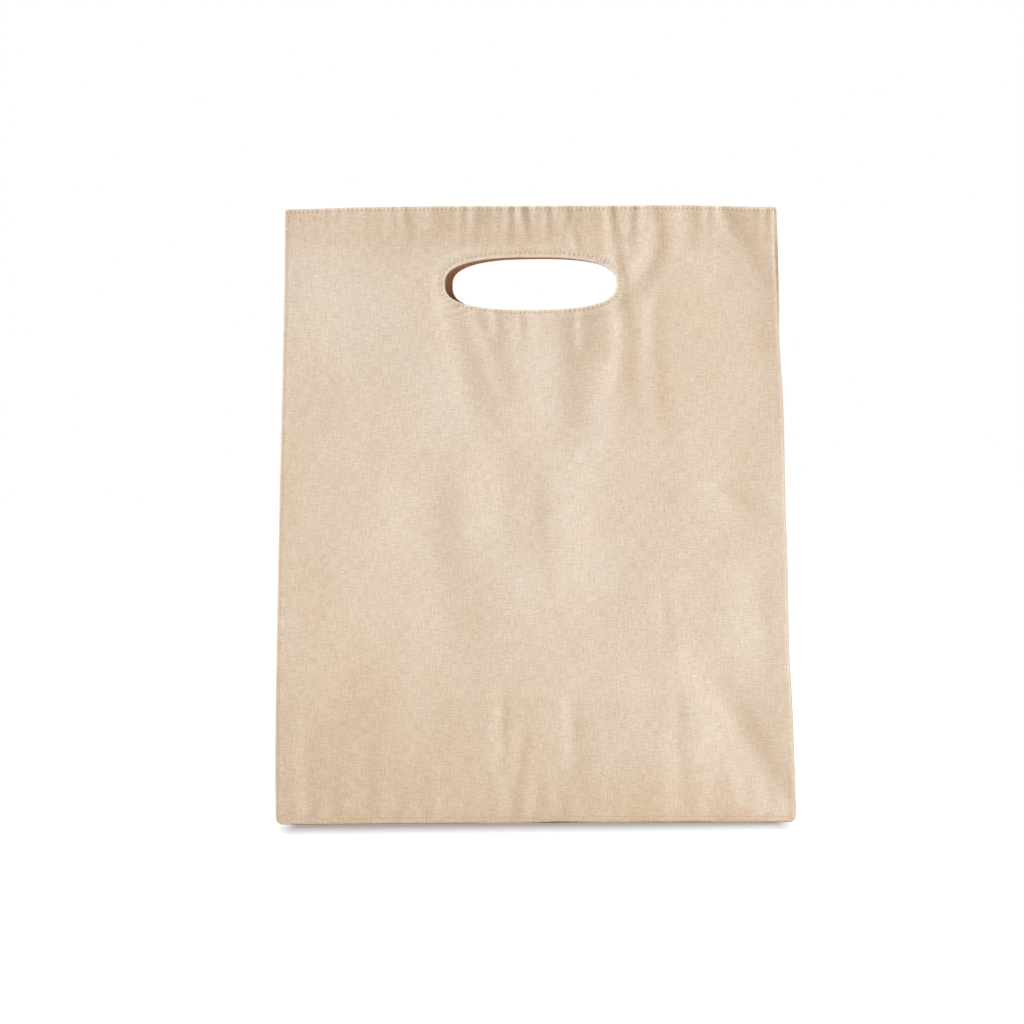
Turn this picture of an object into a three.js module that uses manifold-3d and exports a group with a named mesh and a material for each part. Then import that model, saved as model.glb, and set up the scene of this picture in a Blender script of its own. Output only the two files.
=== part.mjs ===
// Unlined cotton canvas carrier bag with a stitched hand hole in each wall.
// Two wall panels, two pleated side gussets and a base panel are sewn along pinched edge seams.
// Each wall carries an inner facing behind its hem and hand hole, and its own rows of edge stitching.
// Millimetres, +Z up, front wall towards -Y, origin on the floor under the middle of the base.
import * as THREE from "three";
import { mergeVertices } from "three/addons/utils/BufferGeometryUtils.js";
import Module from "manifold-3d";

// Cloth and thread
const CANVAS = 0.8; // thickness of one ply of canvas
const PLY_GAP = 0.3; // air left between plies that are sewn together
const THREAD_DIAMETER = 0.5;

// Bag body
const PANEL_WIDTH = 300; // wall panel at the base seam
const HEM_WIDTH = 294; // the same panel at the hem, drawn in by its stitching
const PANEL_HEIGHT = 363;
const BASE_DEPTH = 110; // over the outside of both walls at the base
const MOUTH_DEPTH = 18; // over the outside of both walls at the hem, mouth nearly closed
const BELLY = 6; // how far the curve of a wall swells past its base seam
const CORNER_RADIUS = 5; // lower corners of a wall panel and corners of the base
const PINCH = 3; // width of the pinched seam that stands out along each upright edge

// Hand hole, a rounded slot with bowed long sides
const GRIP_WIDTH = 102;
const GRIP_HEIGHT = 31;
const GRIP_DROP = 47; // hem down to the middle of the hole
const GRIP_SQUARENESS = 2.7; // exponent of the superellipse: 2 is an ellipse, more is squarer
const FACING_DEPTH = 76; // hem down to the free lower edge of the facing

// Stitching
const STITCH_INSET = 2; // from an edge to the row of stitches that holds it
const ROW_SPACE = 2; // left between the ends of rows that meet at a corner

// Fineness of the facets
const WALL_STEPS = 22;
const GUSSET_STEPS = 24;
const GRIP_STEPS = 52;
const THREAD_SIDES = 6;
const OVERRUN = 6; // cloth beyond the cut line, trimmed off by the outline

const PLY = CANVAS + PLY_GAP;
const THREAD_LIFT = PLY_GAP + THREAD_DIAMETER / 2; // thread centre above the cloth's face
const GRIP_HEIGHT_ABOVE_BASE = PANEL_HEIGHT - GRIP_DROP;

const wasm = await Module();
wasm.setup();

// Turns a closed geometry into a solid that can be joined and cut.
function solidOf(geometry) {
  const bare = geometry.clone();
  bare.deleteAttribute("normal");
  bare.deleteAttribute("uv");
  const merged = mergeVertices(bare, 1e-4);
  return new wasm.Manifold(
    new wasm.Mesh({
      numProp: 3,
      vertProperties: merged.getAttribute("position").array,
      triVerts: new Uint32Array(merged.index.array),
    }),
  );
}

// Turns a solid back into a geometry with flat facets.
function geometryOf(solid) {
  const mesh = solid.getMesh();
  const geometry = new THREE.BufferGeometry();
  geometry.setAttribute("position", new THREE.BufferAttribute(mesh.vertProperties, mesh.numProp));
  geometry.setIndex(new THREE.BufferAttribute(mesh.triVerts, 1));
  geometry.computeVertexNormals();
  return geometry;
}

// A sheet of cloth: columns and rows hold the stations of a grid, point(column, row) its middle surface.
// The face towards (along the columns) x (along the rows) is the outer one.
function clothSheet(columns, rows, point) {
  const grid = rows.map((row) => columns.map((column) => point(column, row)));
  const across = columns.length;
  const ply = across * rows.length;
  const positions = new Float32Array(ply * 2 * 3);
  const at = (i, j) => j * across + i;
  const near = (list, k) => list[Math.min(Math.max(k, 0), list.length - 1)];

  rows.forEach((_, j) => {
    columns.forEach((_, i) => {
      const alongColumns = near(grid[j], i + 1).clone().sub(near(grid[j], i - 1));
      const alongRows = near(grid, j + 1)[i].clone().sub(near(grid, j - 1)[i]);
      const normal = alongColumns.cross(alongRows).setLength(CANVAS / 2);
      grid[j][i].clone().add(normal).toArray(positions, at(i, j) * 3);
      grid[j][i].clone().sub(normal).toArray(positions, (ply + at(i, j)) * 3);
    });
  });

  const faces = [];
  const quad = (a, b, c, d) => faces.push(a, b, c, a, c, d);
  for (let j = 0; j < rows.length - 1; j++) {
    for (let i = 0; i < across - 1; i++) {
      const corners = [at(i, j), at(i + 1, j), at(i + 1, j + 1), at(i, j + 1)];
      const [a, b, c, d] = corners.map((corner) => corner + ply);
      quad(...corners);
      quad(d, c, b, a);
    }
  }
  const rim = (a, b) => quad(b, a, a + ply, b + ply);
  for (let i = 0; i < across - 1; i++) {
    rim(at(i, 0), at(i + 1, 0));
    rim(at(i + 1, rows.length - 1), at(i, rows.length - 1));
  }
  for (let j = 0; j < rows.length - 1; j++) {
    rim(at(across - 1, j), at(across - 1, j + 1));
    rim(at(0, j + 1), at(0, j));
  }

  const geometry = new THREE.BufferGeometry();
  geometry.setAttribute("position", new THREE.BufferAttribute(positions, 3));
  geometry.setIndex(faces);
  return geometry;
}

// Evenly spaced stations from one value to another.
function stations(from, to, steps) {
  return Array.from({ length: steps + 1 }, (_, k) => from + ((to - from) * k) / steps);
}

// Half the panel's width at a height: the hem is drawn in by its stitching.
function halfWidth(z) {
  return (PANEL_WIDTH + ((HEM_WIDTH - PANEL_WIDTH) * z) / PANEL_HEIGHT) / 2;
}

// Distance from the middle of the bag to the outer face of a wall at a height.
// A cubic Bezier curve: full at the base, upright again behind the hand hole and hem.
function wallFace(z) {
  const t = z / PANEL_HEIGHT;
  const base = BASE_DEPTH / 2;
  const hem = MOUTH_DEPTH / 2;
  const s = 1 - t;
  return s ** 3 * base + 3 * s * s * t * (base + BELLY) + 3 * s * t * t * hem + t ** 3 * hem;
}

// Points of the hand hole's outline, or of a line that runs a margin outside it.
function gripOutline(margin) {
  const power = 2 / GRIP_SQUARENESS;
  const bow = (value) => Math.sign(value) * Math.abs(value) ** power;
  return stations(0, 2 * Math.PI, GRIP_STEPS)
    .slice(0, GRIP_STEPS)
    .map((angle) => new THREE.Vector2(
      (GRIP_WIDTH / 2 + margin) * bow(Math.cos(angle)),
      GRIP_HEIGHT_ABOVE_BASE + (GRIP_HEIGHT / 2 + margin) * bow(Math.sin(angle)),
    ));
}

// Front view of a wall from a lower height up to the hem, with rounded lower corners and the hand hole.
function wallOutline(bottom, radius) {
  const low = halfWidth(bottom);
  const high = halfWidth(PANEL_HEIGHT);
  const outline = new THREE.Shape();
  outline.moveTo(-low + radius, bottom);
  outline.lineTo(low - radius, bottom);
  outline.quadraticCurveTo(low, bottom, halfWidth(bottom + radius), bottom + radius);
  outline.lineTo(high, PANEL_HEIGHT);
  outline.lineTo(-high, PANEL_HEIGHT);
  outline.lineTo(-halfWidth(bottom + radius), bottom + radius);
  outline.quadraticCurveTo(-low, bottom, -low + radius, bottom);
  outline.holes.push(new THREE.Path(gripOutline(0)));
  return outline;
}

// A ply of the front wall: a curved sheet a depth inside the wall's face, cut to an outline.
function wallPly(depth, outline) {
  const reach = PANEL_WIDTH / 2 + OVERRUN;
  const sheet = clothSheet(
    [-reach, 0, reach],
    stations(-OVERRUN, PANEL_HEIGHT + OVERRUN, WALL_STEPS),
    (x, z) => new THREE.Vector3(x, -(wallFace(z) - depth), z),
  );
  const cutter = new THREE.ExtrudeGeometry(outline, {
    depth: 2 * BASE_DEPTH,
    bevelEnabled: false,
    curveSegments: 6,
  });
  cutter.rotateX(Math.PI / 2);
  cutter.translate(0, BASE_DEPTH, 0);
  return geometryOf(solidOf(sheet).intersect(solidOf(cutter)));
}

function wallPanel() {
  return wallPly(CANVAS / 2, wallOutline(0, CORNER_RADIUS));
}

function wallFacing() {
  return wallPly(PLY + CANVAS / 2, wallOutline(PANEL_HEIGHT - FACING_DEPTH, 0));
}

// Plies of canvas that lie between a gusset and the outer face of the wall at a height:
// the panel alone low down, the panel and its facing near the hem.
function pliesOutside(z) {
  const facingEdge = PANEL_HEIGHT - FACING_DEPTH;
  return 1 + THREE.MathUtils.smoothstep(z, facingEdge - FACING_DEPTH / 4, facingEdge);
}

// Half the distance between the two seams of a gusset at a height.
function gussetReach(z) {
  return wallFace(z) - PLY * pliesOutside(z) - CANVAS / 2;
}

// Where the gusset turns from its pinched seam into its leaf.
function gussetEdge(z) {
  return halfWidth(z) - PINCH - CANVAS / 2;
}

// Depth of the gusset's pleat: a strip of fixed width folds inwards as the walls close.
function pleatDepth(z) {
  const leaf = gussetReach(0);
  const reach = gussetReach(Math.max(z, 0));
  return Math.sqrt(Math.max(leaf ** 2 - reach ** 2, 0));
}

// A gusset seen from above, from the front seam to the back one.
// A station is a share of the way from the pleat's crease to a seam, and past 1 along the pinched seam.
const CREASE_SOFTNESS = 0.08;
const LEAF_STATIONS = [-1, -0.6, -0.28, -0.12, -0.04, 0.04, 0.12, 0.28, 0.6, 1];
const GUSSET_STATIONS = [-2, ...LEAF_STATIONS, 2];

function gussetPoint(station, z) {
  const share = Math.min(Math.abs(station), 1);
  const rounded = Math.hypot(share, CREASE_SOFTNESS) - CREASE_SOFTNESS;
  const fold = rounded / (Math.hypot(1, CREASE_SOFTNESS) - CREASE_SOFTNESS);
  const pinch = (Math.abs(station) - share) * PINCH;
  const x = gussetEdge(z) - pleatDepth(z) * (1 - fold) + pinch;
  return new THREE.Vector3(x, Math.sign(station) * share * gussetReach(z), z);
}

function sideGusset() {
  const sheet = clothSheet(
    GUSSET_STATIONS,
    stations(-OVERRUN, PANEL_HEIGHT + OVERRUN, GUSSET_STEPS),
    gussetPoint,
  );
  const span = new THREE.BoxGeometry(2 * PANEL_WIDTH, 2 * BASE_DEPTH, PANEL_HEIGHT);
  span.translate(0, 0, PANEL_HEIGHT / 2);
  return geometryOf(solidOf(sheet).intersect(solidOf(span)));
}

// The base: a rectangle with rounded corners that lies inside the walls and gussets.
function basePanel() {
  const x = gussetEdge(0) - CANVAS / 2 - PLY_GAP;
  const y = wallFace(0) - PLY;
  const r = CORNER_RADIUS;
  const outline = new THREE.Shape();
  outline.moveTo(-x + r, -y);
  outline.lineTo(x - r, -y);
  outline.absarc(x - r, -y + r, r, -Math.PI / 2, 0);
  outline.lineTo(x, y - r);
  outline.absarc(x - r, y - r, r, 0, Math.PI / 2);
  outline.lineTo(-x + r, y);
  outline.absarc(-x + r, y - r, r, Math.PI / 2, Math.PI);
  outline.lineTo(-x, -y + r);
  outline.absarc(-x + r, -y + r, r, Math.PI, 1.5 * Math.PI);
  const plate = new THREE.ExtrudeGeometry(outline, {
    depth: CANVAS,
    bevelEnabled: false,
    curveSegments: 6,
  });
  return geometryOf(solidOf(plate));
}

// Section of a thread, a regular polygon.
function threadSection() {
  const corners = stations(0, 2 * Math.PI, THREAD_SIDES).slice(0, THREAD_SIDES);
  return new THREE.Shape(corners.map((angle) => new THREE.Vector2(
    (THREAD_DIAMETER / 2) * Math.cos(angle),
    (THREAD_DIAMETER / 2) * Math.sin(angle),
  )));
}

// A row of stitches with two ends, through a list of points.
function threadRow(points) {
  const straight = points.length === 2;
  const path = straight ? new THREE.LineCurve3(...points) : new THREE.CatmullRomCurve3(points);
  return new THREE.ExtrudeGeometry(threadSection(), {
    steps: straight ? 1 : points.length - 1,
    extrudePath: path,
    bevelEnabled: false,
  });
}

// A point of a stitch row on the outer face of the front wall.
function onWall(x, z) {
  return new THREE.Vector3(x, -(wallFace(z) + THREAD_LIFT), z);
}

// A level row of stitches across a wall, held back from the upright rows at its ends.
function levelRow(z) {
  const end = halfWidth(z) - STITCH_INSET - ROW_SPACE;
  return threadRow([onWall(-end, z), onWall(end, z)]);
}

// An upright row along one side edge of a wall: side is -1 or 1.
function uprightRow(side) {
  const from = STITCH_INSET + ROW_SPACE;
  return threadRow(stations(from, PANEL_HEIGHT - from, WALL_STEPS).map(
    (z) => onWall(side * (halfWidth(z) - STITCH_INSET), z),
  ));
}

// The closed row of stitches round a hand hole.
function gripRow() {
  const points = gripOutline(STITCH_INSET).map(({ x, y }) => onWall(x, y));
  const loop = new THREE.CatmullRomCurve3(points, true);
  return new THREE.TubeGeometry(loop, GRIP_STEPS, THREAD_DIAMETER / 2, THREAD_SIDES, true);
}

// The row that closes a gusset to the base.
function gussetBaseRow() {
  const x = gussetEdge(STITCH_INSET) + CANVAS / 2 + THREAD_LIFT;
  const end = gussetReach(STITCH_INSET) - STITCH_INSET;
  return threadRow([new THREE.Vector3(x, -end, STITCH_INSET), new THREE.Vector3(x, end, STITCH_INSET)]);
}

// Finishes: undyed cotton, a little deeper in tone on the inside, and its sewing thread.
const OUTER_CANVAS = { color: 0xe1cdb4, roughness: 0.95, metalness: 0 };
const INNER_CANVAS = { color: 0xd9c3a6, roughness: 0.95, metalness: 0 };
const COTTON_THREAD = { color: 0xe6d3b8, roughness: 0.85, metalness: 0 };

function piece(name, geometry, finish) {
  const mesh = new THREE.Mesh(geometry, new THREE.MeshStandardMaterial(finish));
  mesh.name = name;
  return mesh;
}

// One wall with its facing and its five rows of stitching, made in the middle and put in its place.
// The sides are named as someone facing the front of the bag sees them.
function wall(name, place) {
  const group = new THREE.Group();
  const add = (part, geometry, finish) => group.add(piece(`${name}_${part}`, place(geometry), finish));
  add("panel", wallPanel(), OUTER_CANVAS);
  add("facing", wallFacing(), INNER_CANVAS);
  add("hem_stitching", levelRow(PANEL_HEIGHT - STITCH_INSET), COTTON_THREAD);
  add("base_stitching", levelRow(STITCH_INSET), COTTON_THREAD);
  add("grip_stitching", gripRow(), COTTON_THREAD);
  add("right_edge_stitching", uprightRow(-1), COTTON_THREAD);
  add("left_edge_stitching", uprightRow(1), COTTON_THREAD);
  return group;
}

// The front wall is the back wall's mirror image: one is turned left for right, the other half round.
function mirrored(geometry) {
  return geometryOf(solidOf(geometry).mirror([1, 0, 0]));
}

function halfTurned(geometry) {
  return geometry.rotateZ(Math.PI);
}

// One gusset with the row that sews it to the base, as the right one lies.
function gusset(name) {
  const group = new THREE.Group();
  group.add(piece(`${name}_gusset`, sideGusset(), OUTER_CANVAS));
  group.add(piece(`${name}_base_stitching`, gussetBaseRow(), COTTON_THREAD));
  return group;
}

const bag = new THREE.Group();
bag.add(wall("front", mirrored));
bag.add(wall("back", halfTurned));
bag.add(gusset("right"));
const leftGusset = gusset("left");
leftGusset.rotation.z = Math.PI;
bag.add(leftGusset);

bag.add(piece("base_panel", basePanel(), OUTER_CANVAS));

export default bag;
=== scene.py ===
import math

import bpy
import numpy as np
from mathutils import Matrix


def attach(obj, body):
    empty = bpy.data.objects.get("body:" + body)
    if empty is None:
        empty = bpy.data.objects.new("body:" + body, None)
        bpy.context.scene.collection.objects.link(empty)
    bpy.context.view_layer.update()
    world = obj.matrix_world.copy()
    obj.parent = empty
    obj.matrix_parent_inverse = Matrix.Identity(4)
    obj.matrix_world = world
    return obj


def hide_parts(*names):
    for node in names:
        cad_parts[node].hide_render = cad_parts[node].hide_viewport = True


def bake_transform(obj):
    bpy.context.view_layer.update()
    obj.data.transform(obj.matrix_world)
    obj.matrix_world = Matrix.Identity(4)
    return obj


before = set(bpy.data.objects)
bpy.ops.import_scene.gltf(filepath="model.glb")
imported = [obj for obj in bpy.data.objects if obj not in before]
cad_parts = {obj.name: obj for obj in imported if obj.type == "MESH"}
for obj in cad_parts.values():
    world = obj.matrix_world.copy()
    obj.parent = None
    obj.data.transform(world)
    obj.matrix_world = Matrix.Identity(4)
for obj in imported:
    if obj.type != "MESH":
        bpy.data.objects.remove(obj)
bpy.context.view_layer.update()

# Millimetres in a metre
METRE = 1000

# Sizes shared with the solids
CANVAS = 0.8
PLY_GAP = 0.3
PLY = CANVAS + PLY_GAP
PANEL_WIDTH = 300
HEM_WIDTH = 294
PANEL_HEIGHT = 363
BASE_DEPTH = 110
MOUTH_DEPTH = 18
BELLY = 6
PINCH = 3
GRIP_WIDTH = 102
GRIP_HEIGHT = 31
GRIP_DROP = 47
GRIP_SQUARENESS = 2.7
GRIP_Z = PANEL_HEIGHT - GRIP_DROP
FACING_DEPTH = 76
FACING_EDGE = PANEL_HEIGHT - FACING_DEPTH

# Finer shape of the cloth: rounded corners, gap to the floor, and heights at which a wall is creased
FOOT_CORNER = 3.6
HEM_CORNER = 1.8
FLOOR_GAP = 0.05
FOOT_CREASE_Z = 72
HEM_CREASE_Z = 334
SIDE_CREASE_Z = 330.5

# Sewing: length of a stitch with its gap, thread, how far each row runs from its edge, and where it ends
STITCH_PITCH = 2.67
STITCH_SHARE = 0.74
THREAD_RADIUS = 0.21
THREAD_SIDES = 7
THREAD_LIFT = 0.06
EDGE_THREAD_DEPTH = 0.05
HEM_ROW = 1.8
EDGE_ROW = 2.0
BASE_ROW = 3.6
GRIP_ROW = 2.4
GRIP_ROW_LIFT = 0.8
HEM_INSET = 4
BASE_INSET = 4.5
EDGE_INSET = 1.5
# Width of the cloth that is turned in at an edge
ALLOWANCE = 6.5
# Stands for the place along a row whose groove shows no needle holes
PLAIN_GROOVE = -0.5
# One stitch from end to end: place, thickness and height above the cloth
STITCH_PLACES = np.array([-1, -0.8, -0.4, 0, 0.4, 0.8, 1])
STITCH_SWELL = np.array([0.35, 0.8, 1.0, 1.0, 1.0, 0.8, 0.35])
STITCH_RISE = np.array([-0.4, -0.2, -0.02, 0.02, -0.02, -0.2, -0.4])

# Fineness of the cloth, and the block round the hand hole that is laid out in rings
STEP_ACROSS = 1.6
STEP_UP = 2.6
EDGE_STEPS = [0, 0.7, 1.4, 2.1, 2.9, 3.9, 5.2, 6.6, 8.2]
RIM_STEPS = 4
HOLE_RINGS = 13
HOLE_RING_CLOSENESS = 1.5
HOLE_BLOCK_BESIDE = 15
HOLE_BLOCK_ABOVE = 14

# Waves, gathers and folds: how many waves are added up, and how a fold swells and fades down its crest
WAVE_COUNT = 10
GATHER_COUNT = 12
FOLD_SAMPLES = 25
FOLD_RISES = (-0.15, 0.12)
FOLD_FADES = (0.5, 1.05)
FOLD_WIDTH_AT_TOP = 0.85
FOLD_WIDENING = 0.4
# Unevenness of a wall: height and wavelength of its waves
WALL_WAVES = [(0.25, 170), (0.13, 62), (0.03, 21)]


def smoothstep(low, high, value):
    t = np.clip((value - low) / (high - low), 0, 1)
    return t * t * (3 - 2 * t)


def bump(value, middle, width):
    """A bell curve, 1 at its middle."""
    return np.exp(-(((value - middle) / width) ** 2))


def bend(value, width):
    """Flat below 0 and a slope of 1 above it, with a soft turn of this width."""
    return width * np.logaddexp(0, value / width)


def half_width(z):
    return (PANEL_WIDTH + (HEM_WIDTH - PANEL_WIDTH) * z / PANEL_HEIGHT) / 2


def wall_face(z):
    """Distance from the middle of the bag to the outer face of a wall."""
    t = z / PANEL_HEIGHT
    s = 1 - t
    base, hem = BASE_DEPTH / 2, MOUTH_DEPTH / 2
    return s**3 * base + 3 * s * s * t * (base + BELLY) + 3 * s * t * t * hem + t**3 * hem


def grip_outline(angle, margin):
    """Point of the hand hole's outline, or of a line that runs a margin outside it."""
    power = 2 / GRIP_SQUARENESS
    x = np.sign(np.cos(angle)) * np.abs(np.cos(angle)) ** power
    z = np.sign(np.sin(angle)) * np.abs(np.sin(angle)) ** power
    return (GRIP_WIDTH / 2 + margin) * x, GRIP_Z + (GRIP_HEIGHT / 2 + margin) * z


def grip_angle(x, z):
    """The outline's angle that a point lies at."""
    power = GRIP_SQUARENESS / 2
    up = (z - GRIP_Z) / GRIP_HEIGHT
    across = x / GRIP_WIDTH
    return np.arctan2(np.sign(up) * np.abs(up) ** power, np.sign(across) * np.abs(across) ** power)


def grip_distance(x, z):
    """Rough distance outside the hand hole's edge."""
    n = GRIP_SQUARENESS
    a, b = GRIP_WIDTH / 2, GRIP_HEIGHT / 2
    radius = (np.abs(x / a) ** n + np.abs((z - GRIP_Z) / b) ** n) ** (1 / n)
    slope_x = np.abs(x / a) ** (n - 1) / a
    slope_z = np.abs((z - GRIP_Z) / b) ** (n - 1) / b
    slope = np.hypot(slope_x, slope_z) / np.maximum(radius, 1e-6) ** (n - 1)
    return (radius - 1) / np.maximum(slope, 1e-6)


def grip_row_angle(x, z):
    """The outline's angle at the place of the stitch row that is nearest to a point."""
    n = GRIP_SQUARENESS
    up = z - GRIP_ROW_LIFT - GRIP_Z
    slope_x = np.sign(x) * np.abs(2 * x / GRIP_WIDTH) ** (n - 1) / GRIP_WIDTH
    slope_z = np.sign(up) * np.abs(2 * up / GRIP_HEIGHT) ** (n - 1) / GRIP_HEIGHT
    length = np.maximum(np.hypot(slope_x, slope_z), 1e-9)
    off = grip_distance(x, up + GRIP_Z) - GRIP_ROW
    return grip_angle(x - off * slope_x / length, up + GRIP_Z - off * slope_z / length)


def ripples(x, z, wavelength, seed):
    """Smooth irregular waves of about one wavelength, from -1 to 1 for the most part."""
    random = np.random.default_rng(seed)
    total = np.zeros(np.broadcast(x, z).shape)
    for _ in range(WAVE_COUNT):
        angle = random.uniform(0, 2 * math.pi)
        rate = 2 * math.pi / wavelength * random.uniform(0.6, 1.5)
        shift = random.uniform(0, 2 * math.pi)
        total = total + np.cos(rate * (x * math.cos(angle) + z * math.sin(angle)) + shift)
    return total * math.sqrt(2 / WAVE_COUNT)


def puckers(along, wavelength, seed):
    """Irregular gathers along a line of stitches."""
    random = np.random.default_rng(seed)
    total = np.zeros(np.shape(along))
    for _ in range(GATHER_COUNT):
        rate = 2 * math.pi / wavelength * random.uniform(0.55, 1.6)
        total = total + np.cos(rate * along + random.uniform(0, 2 * math.pi))
    return total / math.sqrt(GATHER_COUNT / 2)


def fold(x, z, crest, height, left, right):
    """A soft fold that runs down along a bent crest, with its own width on each side."""
    (x0, z0), (x1, z1), (x2, z2) = crest
    t = np.linspace(0, 1, FOLD_SAMPLES)
    line_x = (1 - t) ** 2 * x0 + 2 * t * (1 - t) * x1 + t**2 * x2
    line_z = (1 - t) ** 2 * z0 + 2 * t * (1 - t) * z1 + t**2 * z2
    middle = np.interp(z, line_z[::-1], line_x[::-1])
    slant = np.interp(z, line_z[::-1], np.gradient(line_x, line_z)[::-1])
    aside = (x - middle) / np.hypot(1, slant)
    share = (z0 - z) / (z0 - z2)
    widening = FOLD_WIDTH_AT_TOP + FOLD_WIDENING * np.clip(share, 0, 1)
    spread = np.where(aside < 0, left, right) * widening
    along = smoothstep(*FOLD_RISES, share) * (1 - smoothstep(*FOLD_FADES, share))
    return height * along * np.exp(-((aside / spread) ** 2))


# Folds of each wall: three points of the crest as (across, up), height, width to the left and to the right
FRONT_FOLDS = [
    # Drawn down from the hand hole
    (((4, 330), (4, 270), (4, 150)), 3.5, 85, 80),
    (((-50, 310), (-50, 294), (-25, 210)), 1.3, 8, 12),
    (((-35, 301), (-25, 279), (-9, 236)), 0.8, 5, 6),
    (((-22, 301), (-21, 291), (-18, 278)), 0.6, 2.8, 3),
    (((-7, 300), (-7, 289), (-6, 276)), 0.45, 2.5, 3),
    (((4, 300), (4, 288), (6, 272)), 0.4, 2.5, 4),
    (((17, 302), (17, 262), (17, 200)), 1.8, 15, 12),
    (((30, 300), (30, 287), (31, 268)), 0.9, 3, 9),
    (((50, 307), (60, 280), (46, 242)), 1.15, 4.5, 8),
    (((54, 264), (54, 240), (52, 206)), 0.85, 13, 14),
    (((74, 308), (68, 270), (79, 206)), 0.75, 6, 6),
    # Between the hem and the hand hole
    (((-82, 366), (-81, 355), (-81, 343)), 0.55, 4, 1.7),
    (((-75, 366), (-75, 354), (-73, 338)), 0.7, 4, 2),
    (((-59, 366), (-58, 356), (-57, 343)), 0.7, 6, 4),
    (((-31, 366), (-31, 357), (-32, 345)), 0.55, 5, 1.8),
    (((-13, 366), (-12, 353), (-12, 337)), 0.7, 5, 1.9),
    (((-6, 366), (-4, 353), (-1, 338)), 1.0, 3.5, 2.1),
    (((9, 366), (10, 353), (11, 338)), 0.8, 6, 1.9),
    (((19, 366), (20, 356), (22, 343)), 0.9, 5, 5),
    (((25, 349), (26, 342), (29, 333)), 0.6, 2.5, 2.5),
    (((46, 367), (49, 345), (56, 300)), 1.15, 3.2, 2.8),
    (((58, 366), (58, 349), (60, 330)), 0.8, 2.8, 3),
    (((70, 367), (88, 330), (44, 298)), 1.3, 7, 5),
    (((93, 366), (94, 350), (95, 328)), 0.8, 6, 6),
    (((113, 366), (116, 356), (122, 340)), 0.7, 3, 4),
    (((-88, 372), (-92, 320), (-96, 240)), 3.2, 45, 90),
    (((108, 345), (108, 190), (108, 50)), 1.8, 55, 42),
    (((112, 370), (119, 346), (152, 276)), 2.4, 36, 11),
    (((134, 302), (134, 262), (137, 212)), 1.0, 25, 11),
    # Slack of the middle
    (((-60, 194), (-63, 140), (-38, 58)), 1.3, 26, 16),
    (((-18, 214), (-16, 175), (-14, 128)), 0.9, 13, 15),
    (((1, 196), (3, 161), (5, 118)), 0.55, 10, 8),
    (((42, 214), (43, 148), (35, 94)), 2.1, 20, 40),
    (((75, 134), (76, 111), (78, 84)), 0.4, 5, 4),
    (((62, 112), (64, 84), (68, 40)), 0.8, 30, 14),
    (((130, 146), (130, 116), (137, 60)), 0.9, 12, 9),
    (((108, 196), (127, 177), (148, 160)), 0.9, 9, 7),
    # Above the base
    (((-132, 64), (-131, 38), (-131, 8)), 0.45, 5, 10),
    (((-97, 48), (-97, 24), (-97, -6)), 0.4, 9, 5),
    (((-19, 72), (-19, 49), (-18, 14)), 0.5, 4.5, 3.5),
    (((-7, 52), (-11, 29), (-16, -6)), 0.5, 6, 4.5),
    (((22, 71), (22, 49), (23, 14)), 0.6, 5, 5),
    (((82, 77), (82, 42), (85, -34)), 0.45, 5, 5),
    (((96, 92), (133, 17), (194, -58)), 2.8, 14, 11),
    (((107, 98), (118, 74), (131, 44)), 1.5, 9, 20),
    (((101, 51), (102, 33), (109, 13)), 0.3, 4, 4),
    (((117, 31), (120, 19), (129, 2)), 0.3, 4, 4),
]
BACK_FOLDS = [
    (((-50, 304), (-46, 262), (-38, 210)), 1.4, 5, 7),
    (((-22, 299), (-24, 280), (-30, 250)), 0.8, 3, 4),
    (((8, 299), (5, 270), (-2, 222)), 1.3, 7, 6),
    (((34, 299), (33, 282), (30, 262)), 0.6, 3, 3),
    (((50, 303), (44, 268), (38, 218)), 1.4, 6, 5),
    (((-66, 364), (-64, 340), (-54, 318)), 1.4, 5, 5),
    (((-30, 364), (-29, 350), (-27, 336)), 0.6, 3, 3),
    (((27, 364), (27, 350), (26, 336)), 0.6, 3, 2),
    (((84, 364), (82, 345), (82, 322)), 0.9, 5, 4),
    (((-30, 215), (-40, 160), (-46, 100)), 1.6, 15, 12),
    (((58, 180), (56, 130), (50, 80)), 1.5, 13, 12),
    (((-98, 100), (-118, 60), (-143, 8)), 2.2, 8, 9),
    (((108, 84), (120, 50), (136, 10)), 1.3, 8, 7),
    (((-6, 74), (-4, 45), (-4, 8)), 0.9, 6, 5),
    (((64, 40), (65, 20), (66, -4)), 0.7, 5, 3),
]


def level_row(z, inset):
    """A level row of stitches: a place along it from 0 to 1 gives (x, z)."""
    end = half_width(z) - inset

    def place(share):
        return (2 * share - 1) * end, np.full(np.shape(share), float(z))

    return place


EDGE_LOW = BASE_ROW + EDGE_INSET
EDGE_HIGH = PANEL_HEIGHT - HEM_ROW - EDGE_INSET


def upright_row(side):
    """A row along a side edge, -1 for left and 1 for right."""
    def place(share):
        z = EDGE_LOW + (EDGE_HIGH - EDGE_LOW) * share
        return side * (half_width(z) - EDGE_ROW), z

    return place


# The row round the hand hole: its line, and how far along it each angle of the outline lies
GRIP_SAMPLES = 721
GRIP_ANGLES = np.linspace(-math.pi, math.pi, GRIP_SAMPLES)
GRIP_LINE = np.stack(grip_outline(GRIP_ANGLES, GRIP_ROW), axis=1)
GRIP_STEPS = np.linalg.norm(np.diff(GRIP_LINE, axis=0), axis=1)
GRIP_SHARES = np.concatenate([[0], np.cumsum(GRIP_STEPS)]) / GRIP_STEPS.sum()


def grip_row(share):
    x, z = grip_outline(np.interp(share % 1.0, GRIP_SHARES, GRIP_ANGLES), GRIP_ROW)
    return x, z + GRIP_ROW_LIFT


def stitch_count(length):
    return int(round(length / STITCH_PITCH))


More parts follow.
